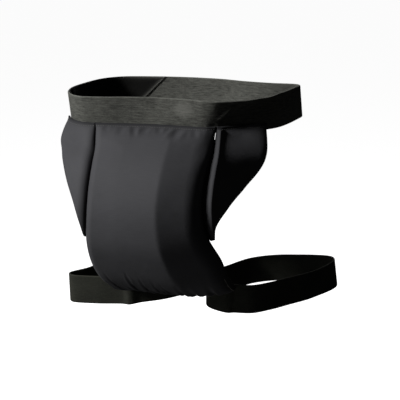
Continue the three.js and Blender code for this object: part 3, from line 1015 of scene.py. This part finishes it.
class SEATGUARD_OT_waist_belt(Operator):
    """Build the ribbed elastic waist belt and its lapped end"""

    bl_idname = "seatguard.waist_belt"
    bl_label = "Waist belt"
    # Places in plan, in metres: the loop's start, the painted highlight on the belt, and how far forward the
    # lap's tip lies
    START = (-0.030, 0.121)
    HIGHLIGHT_PLACE = (0.042, -0.115)
    TIP_TOP_Y = 0.115
    TIP_BOTTOM_Y = 0.105

    def execute(self, context):
        guard = context.scene.seat_guard
        webbing = guard.webbing
        path = waist_path()
        start = path.arc_nearest(*self.START)
        # Where along the belt the painted highlight sits
        highlight_at = np.mod(path.arc_nearest(*self.HIGHLIGHT_PLACE) - start, path.length)
        elastic = woven_elastic("belt_weave", guard.finish.belt, webbing.belt_width, streak=1.7, highlight_at=highlight_at)
        lap_elastic = woven_elastic("lap_weave", guard.finish.lap, webbing.belt_width, streak=0.6)
        sizes = (webbing.belt_width, webbing.belt_thick)
        belt = webbing_loop("waist_belt_elastic", path, start, sizes, webbing, elastic)
        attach(belt, "root")
        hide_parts("waist_belt")
        crease_belt(belt, path, start)
        flap, length = self.lapped_end(path, webbing, lap_elastic)
        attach(flap, "root")
        return {"FINISHED"}

    @classmethod
    def lapped_end(cls, path, webbing, elastic):
        """End of the belt that laps inside its front, cut on a slant, and its length."""
        sewn = path.arc_nearest(path.points[:, 0].min(), webbing.flap_sewn_y)
        tip_top = path.arc_nearest(webbing.flap_tip_x + webbing.flap_slant / 2, cls.TIP_TOP_Y)
        tip_bottom = path.arc_nearest(webbing.flap_tip_x - webbing.flap_slant / 2, cls.TIP_BOTTOM_Y)
        heights = np.linspace(0.5, -0.5, webbing.ribs * 2 + 1) * webbing.belt_width
        tips = tip_top + (0.5 - heights / webbing.belt_width) * (tip_bottom - tip_top)
        length = sewn - tips.mean()
        shares = np.linspace(0, 1, int(round(length / webbing.step)) + 1)
        near = -webbing.belt_thick / 2 - webbing.lap_gap
        skins = []
        for distance in (near, near - webbing.flap_thick):
            rows = []
            for tip, height in zip(tips, heights):
                rows.append(path.outside(sewn + shares * (tip - sewn), height, distance))
            skins.append(np.stack(rows, axis=1))
        shell = Shell(*skins, (0.6, 0.6, 0.6, 0.6))
        grid = np.repeat(shares, len(heights))
        ring = shares[perimeter(len(shares), len(heights))[:, 0]]
        # The painted highlight grows towards the lapped end's slanted tip
        shell.wear *= np.concatenate([grid, grid, *([ring] * len(Shell.RIM_TURNS))])
        return shell_piece("waist_belt_lapped_end", [shell], elastic, "webbing"), length


class SEATGUARD_OT_leg_straps(Operator):
    """Build the two elastic leg straps"""

    bl_idname = "seatguard.leg_straps"
    bl_label = "Leg straps"

    def execute(self, context):
        guard = context.scene.seat_guard
        webbing = guard.webbing
        elastic = woven_elastic("strap_weave", guard.finish.strap, webbing.strap_width, streak=0.6)
        sizes = (webbing.strap_width, webbing.strap_thick)
        for side, word in ((-1, "left"), (1, "right")):
            path = strap_path(side, webbing, guard.panel)
            strap = webbing_loop(f"leg_strap_{word}_elastic", path, 0.0, sizes, webbing, elastic)
            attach(strap, "root")
            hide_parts(f"leg_strap_{word}")
        return {"FINISHED"}


class SEATGUARD_OT_centre_pad(Operator):
    """Build the padded centre panel, its puckers and its stitching"""

    bl_idname = "seatguard.centre_pad"
    bl_label = "Centre pad"
    # Pale stitches along the lower right edge, which also paint its highlight, and tacks over the straps: from
    # and to, in metres up from the hem
    EDGE_SEAM = (0.070, 0.004)
    TACK_SEAM = (0.003, 0.010)

    def execute(self, context):
        guard = context.scene.seat_guard
        panel = guard.panel
        columns = int(round(2 * panel.centre_arc / panel.cloth_step))
        across = np.linspace(-1, 1, columns + 1)
        stations = centre_columns(across, waist_path(), guard.webbing, panel)
        rows = int(round(running_length(stations).max() / panel.cloth_step))
        grid = PanelGrid(even_rows(stations, rows))
        grid.normals = unit(grid.normals.mean(axis=0, keepdims=True))
        side_roll = np.where(across < 0, panel.left_side_roll, panel.right_side_roll)[:, None]
        full = roll(grid.from_side, side_roll) * swell(grid.from_top, panel.top_swell)
        full = full * (panel.hem_fill + (1 - panel.hem_fill) * swell(grid.from_end, panel.hem_roll))
        thickness = panel.seam_thick + (panel.centre_foam - panel.seam_thick) * full
        past_ridge = np.clip((across - PANEL_ROWS[0].ridge) / (1 - PANEL_ROWS[0].ridge), 0, 1)[:, None]
        thickness -= panel.facet_dip * past_ridge * np.exp(-((grid.from_top / panel.facet_reach) ** 2)) * full
        near_corner = np.exp(-((across[:, None] + 1) * panel.centre_arc / panel.corner_reach) ** 2)
        thickness += panel.corner_fill * near_corner * np.exp(-((grid.from_end / panel.corner_reach - 1) ** 2))
        below_seam = np.maximum(grid.from_top - panel.seam_lap, 0)
        thickness -= pucker_depth(grid, across, TOP_PUCKERS, below_seam) * full
        skin = grid.skin(thickness)
        near_edge = np.exp(-np.minimum(np.abs(grid.from_top - panel.seam_lap), grid.from_end) / SLACK_REACH)
        skin = settle_cover(skin, near_edge, panel)
        pleats = pucker_depth(grid, across, HEM_PUCKERS, grid.from_end) * full ** 0.5
        skin = skin - grid.normals * pleats[..., None]
        shell = Shell(grid.inner, skin, (SEWN_RIM, SEWN_RIM, FREE_RIM, HEM_RIM))
        pad = shell_piece("centre_pad_cover", [shell], panel_cloth(guard.finish))
        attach(pad, "root")
        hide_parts("centre_pad")
        stitch = guard.stitch
        step = grid.from_top[0, -1] / rows
        inset = stitch.inset / step
        lines = [seam_across(skin, row, stitch) for row in (inset, rows - inset)]
        tack_rows = rows - np.linspace(*self.TACK_SEAM, 20) / step
        for share in (*-STRAP_SEWN[::-1], *STRAP_SEWN):
            lines.append(skin_line(skin, (share + 1) / 2 * columns, tack_rows, stitch))
        thread = material_once("seam_thread", sewing_thread, guard.finish.thread)
        stitched("centre_pad_stitches", lines, stitch, thread)
        # Pale stitches that also paint the highlight along the panel's lower right edge
        edge_rows = rows - np.linspace(*self.EDGE_SEAM, 120) / step
        edge = skin_line(skin, columns - stitch.inset / 2 / panel.cloth_step, edge_rows, stitch)
        highlight_thread = material_once("edge_thread", sewing_thread, guard.finish.edge_thread)
        stitched("centre_pad_edge_stitches", [edge], stitch, highlight_thread)
        return {"FINISHED"}


class SEATGUARD_OT_wing_pads(Operator):
    """Build the two padded side wings and their stitching"""

    bl_idname = "seatguard.wing_pads"
    bl_label = "Wing pads"

    def execute(self, context):
        guard = context.scene.seat_guard
        panel = guard.panel
        columns = int(round(panel.wing_arc / panel.cloth_step))
        for side, word in ((-1, "left"), (1, "right")):
            reach = np.linspace(0, 1, columns + 1)[::side]
            stations = wing_columns(side, reach, waist_path(), guard.webbing, panel)
            rows = int(round(running_length(stations).max() / panel.cloth_step))
            grid = PanelGrid(even_rows(stations, rows))
            top_swell = panel.left_wing_swell if side < 0 else panel.right_wing_swell
            full = roll(grid.from_side, panel.wing_side_roll) * swell(grid.from_top, top_swell)
            full = full * roll(grid.from_end, panel.wing_tip_roll)
            thickness = panel.seam_thick + (panel.wing_foam - panel.seam_thick) * full
            if side > 0:
                from_seam = np.linalg.norm(grid.inner - grid.inner[:1], axis=-1)
                bead = np.exp(-((from_seam - panel.bead_inset) / panel.bead_reach) ** 2)
                ends = swell(grid.from_top, panel.seam_lap) * swell(grid.from_end, panel.bead_fade)
                thickness += panel.bead_rise * bead * ends
            skin = grid.skin(thickness)
            near_edge = np.exp(-np.abs(grid.from_top - panel.seam_lap) / SLACK_REACH)
            skin = settle_cover(skin, near_edge, panel)
            sides = (FREE_RIM, SEWN_RIM)[::-side]
            shells = [Shell(grid.inner, skin, (*sides, FREE_RIM, TIP_RIM)), self.seam_tape(side, rows, guard)]
            wing = shell_piece(f"wing_pad_{word}_cover", shells, panel_cloth(guard.finish))
            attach(wing, "root")
            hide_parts(f"wing_pad_{word}")
            seam_row = guard.stitch.inset / (grid.from_top[0, -1] / rows)
            lines = [seam_across(skin, seam_row, guard.stitch)]
            thread = material_once("seam_thread", sewing_thread, guard.finish.thread)
            stitched(f"wing_pad_{word}_stitches", lines, guard.stitch, thread)
        return {"FINISHED"}

    @staticmethod
    def seam_tape(side, rows, guard):
        """Thin tape on the inner side, below the belt, that covers the seam of a wing and the centre panel."""
        panel = guard.panel
        waist = waist_path()
        wing_reach = np.array([panel.tape_width / 2 / panel.wing_arc, 0.0])
        wing = wing_columns(side, wing_reach, waist, guard.webbing, panel)
        centre_share = 1 - panel.tape_width / 2 / panel.centre_arc
        centre = centre_columns(side * np.array([1.0, centre_share]), waist, guard.webbing, panel)
        stations = np.concatenate([wing, centre[:, :wing.shape[1]]])
        lines = even_rows(stations[::-side], rows)
        belt_share = (panel.top_lap + panel.tape_width) / running_length(lines)[0, -1]
        grid = PanelGrid(lines[:, int(math.ceil(rows * belt_share)):])
        covered = np.full(grid.inner.shape[:2], -panel.tape_gap)
        return Shell(grid.skin(covered - panel.tape_thick), grid.skin(covered), (0.5, 0.5, 0.5, 0.5))


class SEATGUARD_OT_stage(Operator):
    """Build the camera, the soft lights and the pale floor"""

    bl_idname = "seatguard.stage"
    bl_label = "Stage"

    def execute(self, context):
        scene = context.scene
        stage = scene.seat_guard.stage
        scene.view_settings.view_transform = "Standard"
        aim = Vector(stage.aim)
        camera = bpy.data.cameras.new("camera")
        camera.lens = stage.lens
        camera.sensor_width = SENSOR_WIDTH
        scene.camera = link("camera", camera)
        aim_from(scene.camera, aim, stage.azimuth, stage.elevation, stage.distance)
        for name, (azimuth, elevation, distance, size) in LIGHTS.items():
            data = bpy.data.lights.new(name + "_light", "AREA")
            data.shape = "DISK"
            data.size = size
            data.energy = getattr(stage, name + "_power")
            light = link(name + "_light", data)
            aim_from(light, aim, math.radians(azimuth), math.radians(elevation), distance)
        self.make_world(scene, stage)
        self.make_floor(stage)
        return {"FINISHED"}

    @staticmethod
    def make_world(scene, stage):
        """White to the camera, and a weak even light on the guard."""
        world = bpy.data.worlds.new("studio")
        world.use_nodes = True
        world.node_tree.nodes.clear()
        build = NodeBuilder(world.node_tree)
        seen = build.node("ShaderNodeLightPath")["Is Camera Ray"]
        strength = seen * (1.0 - stage.ambient) + stage.ambient
        background = build.node("ShaderNodeBackground", {"Color": (1, 1, 1, 1), "Strength": strength})
        build.node("ShaderNodeOutputWorld", {"Surface": background["Background"]})
        scene.world = world

    @staticmethod
    def make_floor(stage):
        half = FLOOR_HALF
        square = ((-half, -half), (half, -half), (half, half), (-half, half))
        corners = [(x, y, stage.floor_height) for x, y in square]
        mesh = bpy.data.meshes.new("floor")
        mesh.from_pydata(corners, [], [range(4)])
        floor = link("floor", mesh)
        material, build = new_material("pale_floor")
        finish_material(build, {
            "Base Color": (0.8, 0.8, 0.8, 1), "Roughness": 0.9, "Emission Color": (1, 1, 1, 1),
            "Emission Strength": 0.95})
        mesh.materials.append(material)
        floor.visible_diffuse = False
        floor.visible_glossy = False


def aim_from(made, aim, azimuth, elevation, distance):
    """Points a camera or light at the aim; azimuth 0 is behind the wearer, and positive towards +X."""
    level = math.cos(elevation)
    towards = Vector((math.sin(azimuth) * level, -math.cos(azimuth) * level, math.sin(elevation)))
    made.location = aim + towards * distance
    made.rotation_euler = (aim - made.location).to_track_quat("-Z", "Y").to_euler()


class SEATGUARD_PT_build(Panel):
    """Sizes and finishes of the seat guard, and a button for each piece"""

    bl_idname = "SEATGUARD_PT_build"
    bl_label = "Padded seat guard"
    bl_space_type = "VIEW_3D"
    bl_region_type = "UI"
    bl_category = "Seat guard"

    def draw(self, context):
        guard = context.scene.seat_guard
        for part in guard.__annotations__:
            box = self.layout.box()
            box.label(text=guard.bl_rna.properties[part].name)
            group = getattr(guard, part)
            for name in group.__annotations__:
                box.prop(group, name)
        for operator in OPERATORS:
            self.layout.operator(operator.bl_idname)


OPERATORS = (
    SEATGUARD_OT_stage,
    SEATGUARD_OT_waist_belt,
    SEATGUARD_OT_leg_straps,
    SEATGUARD_OT_centre_pad,
    SEATGUARD_OT_wing_pads,
)
CLASSES = (
    WebbingSizes,
    PanelSizes,
    StitchSizes,
    GuardFinish,
    StageSetup,
    SeatGuardSettings,
    *OPERATORS,
    SEATGUARD_PT_build,
)


def register():
    for each in CLASSES:
        bpy.utils.register_class(each)
    bpy.types.Scene.seat_guard = PointerProperty(
        type=SeatGuardSettings, name="Seat guard", description="Sizes and finishes of the seat guard")


def unregister():
    del bpy.types.Scene.seat_guard
    for each in reversed(CLASSES):
        bpy.utils.unregister_class(each)


def main():
    register()
    bpy.ops.seatguard.stage()
    bpy.ops.seatguard.waist_belt()
    bpy.ops.seatguard.leg_straps()
    bpy.ops.seatguard.centre_pad()
    bpy.ops.seatguard.wing_pads()


if __name__ == "__main__":
    main()
